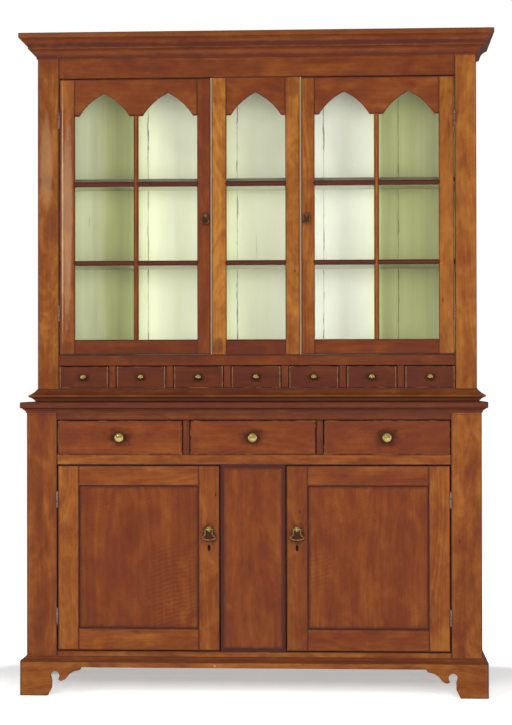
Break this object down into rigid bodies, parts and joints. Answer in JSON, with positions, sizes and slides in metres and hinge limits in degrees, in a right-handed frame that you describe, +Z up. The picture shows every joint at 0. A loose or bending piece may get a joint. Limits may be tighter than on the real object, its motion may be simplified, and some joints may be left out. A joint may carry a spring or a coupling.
{
  "type": "step back cupboard",
  "caption": "Tall two-part cupboard: glazed doors with pointed arches over a row of small drawers, standing back on a deeper base with wide drawers and panelled doors.",
  "frame": {"origin": "on the floor, half way across, half way between the back and the front of the wide drawers' knobs", "axes": "+X to the right seen from the front, +Y towards the back, +Z up"},
  "size_m": [1.591, 0.538, 2.1955],
  "materials": {
    "cherry": "old shellac, satin",
    "cherry_panel": "old shellac, satin",
    "secondary_wood": "bare, aged",
    "painted_interior": "matt green paint",
    "window_glass": "old, slightly wavy",
    "brass": "aged, lightly polished",
    "iron": "dark, dull"
  },
  "bodies": {
    "cupboard": {"bracket_feet": "cherry", "case_hinges": "iron", "center_sash_frame": "cherry", "center_sash_panes": "window_glass", "cornice": "cherry", "drawer_guides": "secondary_wood", "lower_back_boards": "secondary_wood", "lower_center_panel": "cherry_panel", "lower_face_frame": "cherry", "lower_inner_boards": "secondary_wood", "lower_mouldings": "cherry", "lower_sides": "cherry", "lower_top_board": "cherry", "upper_back_boards": "painted_interior", "upper_boards": "painted_interior", "upper_face_frame": "cherry", "upper_sides": "cherry", "waist_moulding": "cherry"},
    "right_glazed_door": {"right_glazed_door_frame": "cherry", "right_glazed_door_hinges": "iron", "right_glazed_door_panes": "window_glass"},
    "right_upper_latch_spindle": {"right_upper_latch_spindle": "brass"},
    "right_upper_latch_bail": {"right_upper_latch_bail": "brass"},
    "right_panel_door": {"right_panel_door_frame": "cherry", "right_panel_door_hardware": "iron", "right_panel_door_panel": "cherry_panel"},
    "right_lower_latch_spindle": {"right_lower_latch_spindle": "brass"},
    "right_lower_latch_bail": {"right_lower_latch_bail": "brass"},
    "right_lock_bolt": {"right_lock_bolt": "iron"},
    "left_glazed_door": {"left_glazed_door_frame": "cherry", "left_glazed_door_hinges": "iron", "left_glazed_door_panes": "window_glass"},
    "left_upper_latch_spindle": {"left_upper_latch_spindle": "brass"},
    "left_upper_latch_bail": {"left_upper_latch_bail": "brass"},
    "left_panel_door": {"left_panel_door_frame": "cherry", "left_panel_door_hardware": "iron", "left_panel_door_panel": "cherry_panel"},
    "left_lower_latch_spindle": {"left_lower_latch_spindle": "brass"},
    "left_lower_latch_bail": {"left_lower_latch_bail": "brass"},
    "left_lock_bolt": {"left_lock_bolt": "iron"},
    "large_drawer_1": {"large_drawer_1": "cherry", "large_knob_1": "brass"},
    "large_drawer_2": {"large_drawer_2": "cherry", "large_knob_2": "brass"},
    "large_drawer_3": {"large_drawer_3": "cherry", "large_knob_3": "brass"},
    "small_drawer_1": {"small_drawer_1": "cherry", "small_knob_1": "brass"},
    "small_drawer_2": {"small_drawer_2": "cherry", "small_knob_2": "brass"},
    "small_drawer_3": {"small_drawer_3": "cherry", "small_knob_3": "brass"},
    "small_drawer_4": {"small_drawer_4": "cherry", "small_knob_4": "brass"},
    "small_drawer_5": {"small_drawer_5": "cherry", "small_knob_5": "brass"},
    "small_drawer_6": {"small_drawer_6": "cherry", "small_knob_6": "brass"},
    "small_drawer_7": {"small_drawer_7": "cherry", "small_knob_7": "brass"}
  },
  "joints": [
    {"name": "right_glazed_door_hinge", "type": "hinge", "parent": "cupboard", "child": "right_glazed_door", "pos_m": [0.66525, -0.0483, 1.1155], "axis": [0, 0, 1], "range_deg": [0, 165]},
    {"name": "right_upper_latch_turn", "type": "hinge", "parent": "right_glazed_door", "child": "right_upper_latch_spindle", "pos_m": [0.1705, -0.044, 1.582], "axis": [0, -1, 0], "range_deg": [0, 90]},
    {"name": "right_upper_latch_bail_swing", "type": "hinge", "parent": "right_upper_latch_spindle", "child": "right_upper_latch_bail", "pos_m": [0.1705, -0.052, 1.582], "axis": [-1, 0, 0], "range_deg": [-12, 150]},
    {"name": "right_panel_door_hinge", "type": "hinge", "parent": "cupboard", "child": "right_panel_door", "pos_m": [0.64025, -0.2433, 0.1475], "axis": [0, 0, 1], "range_deg": [0, 165]},
    {"name": "right_lower_latch_turn", "type": "hinge", "parent": "right_panel_door", "child": "right_lower_latch_spindle", "pos_m": [0.1435, -0.239, 0.542], "axis": [0, -1, 0], "range_deg": [0, 90]},
    {"name": "right_lower_latch_bail_swing", "type": "hinge", "parent": "right_lower_latch_spindle", "child": "right_lower_latch_bail", "pos_m": [0.1435, -0.2485, 0.542], "axis": [-1, 0, 0], "range_deg": [-12, 150]},
    {"name": "right_lock_bolt_throw", "type": "slide", "parent": "right_panel_door", "child": "right_lock_bolt", "axis": [-1, 0, 0], "range_m": [0, 0.012]},
    {"name": "left_glazed_door_hinge", "type": "hinge", "parent": "cupboard", "child": "left_glazed_door", "pos_m": [-0.66525, -0.0483, 1.1155], "axis": [0, 0, -1], "range_deg": [0, 165]},
    {"name": "left_upper_latch_turn", "type": "hinge", "parent": "left_glazed_door", "child": "left_upper_latch_spindle", "pos_m": [-0.1705, -0.044, 1.582], "axis": [0, 1, 0], "range_deg": [0, 90]},
    {"name": "left_upper_latch_bail_swing", "type": "hinge", "parent": "left_upper_latch_spindle", "child": "left_upper_latch_bail", "pos_m": [-0.1705, -0.052, 1.582], "axis": [-1, 0, 0], "range_deg": [-12, 150]},
    {"name": "left_panel_door_hinge", "type": "hinge", "parent": "cupboard", "child": "left_panel_door", "pos_m": [-0.64025, -0.2433, 0.1475], "axis": [0, 0, -1], "range_deg": [0, 165]},
    {"name": "left_lower_latch_turn", "type": "hinge", "parent": "left_panel_door", "child": "left_lower_latch_spindle", "pos_m": [-0.1435, -0.239, 0.542], "axis": [0, 1, 0], "range_deg": [0, 90]},
    {"name": "left_lower_latch_bail_swing", "type": "hinge", "parent": "left_lower_latch_spindle", "child": "left_lower_latch_bail", "pos_m": [-0.1435, -0.2485, 0.542], "axis": [-1, 0, 0], "range_deg": [-12, 150]},
    {"name": "left_lock_bolt_throw", "type": "slide", "parent": "left_panel_door", "child": "left_lock_bolt", "axis": [1, 0, 0], "range_m": [0, 0.012]},
    {"name": "large_drawer_1_slide", "type": "slide", "parent": "cupboard", "child": "large_drawer_1", "axis": [0, -1, 0], "range_m": [0, 0.33]},
    {"name": "large_drawer_2_slide", "type": "slide", "parent": "cupboard", "child": "large_drawer_2", "axis": [0, -1, 0], "range_m": [0, 0.33]},
    {"name": "large_drawer_3_slide", "type": "slide", "parent": "cupboard", "child": "large_drawer_3", "axis": [0, -1, 0], "range_m": [0, 0.33]},
    {"name": "small_drawer_1_slide", "type": "slide", "parent": "cupboard", "child": "small_drawer_1", "axis": [0, -1, 0], "range_m": [0, 0.18]},
    {"name": "small_drawer_2_slide", "type": "slide", "parent": "cupboard", "child": "small_drawer_2", "axis": [0, -1, 0], "range_m": [0, 0.18]},
    {"name": "small_drawer_3_slide", "type": "slide", "parent": "cupboard", "child": "small_drawer_3", "axis": [0, -1, 0], "range_m": [0, 0.18]},
    {"name": "small_drawer_4_slide", "type": "slide", "parent": "cupboard", "child": "small_drawer_4", "axis": [0, -1, 0], "range_m": [0, 0.18]},
    {"name": "small_drawer_5_slide", "type": "slide", "parent": "cupboard", "child": "small_drawer_5", "axis": [0, -1, 0], "range_m": [0, 0.18]},
    {"name": "small_drawer_6_slide", "type": "slide", "parent": "cupboard", "child": "small_drawer_6", "axis": [0, -1, 0], "range_m": [0, 0.18]},
    {"name": "small_drawer_7_slide", "type": "slide", "parent": "cupboard", "child": "small_drawer_7", "axis": [0, -1, 0], "range_m": [0, 0.18]}
  ]
}
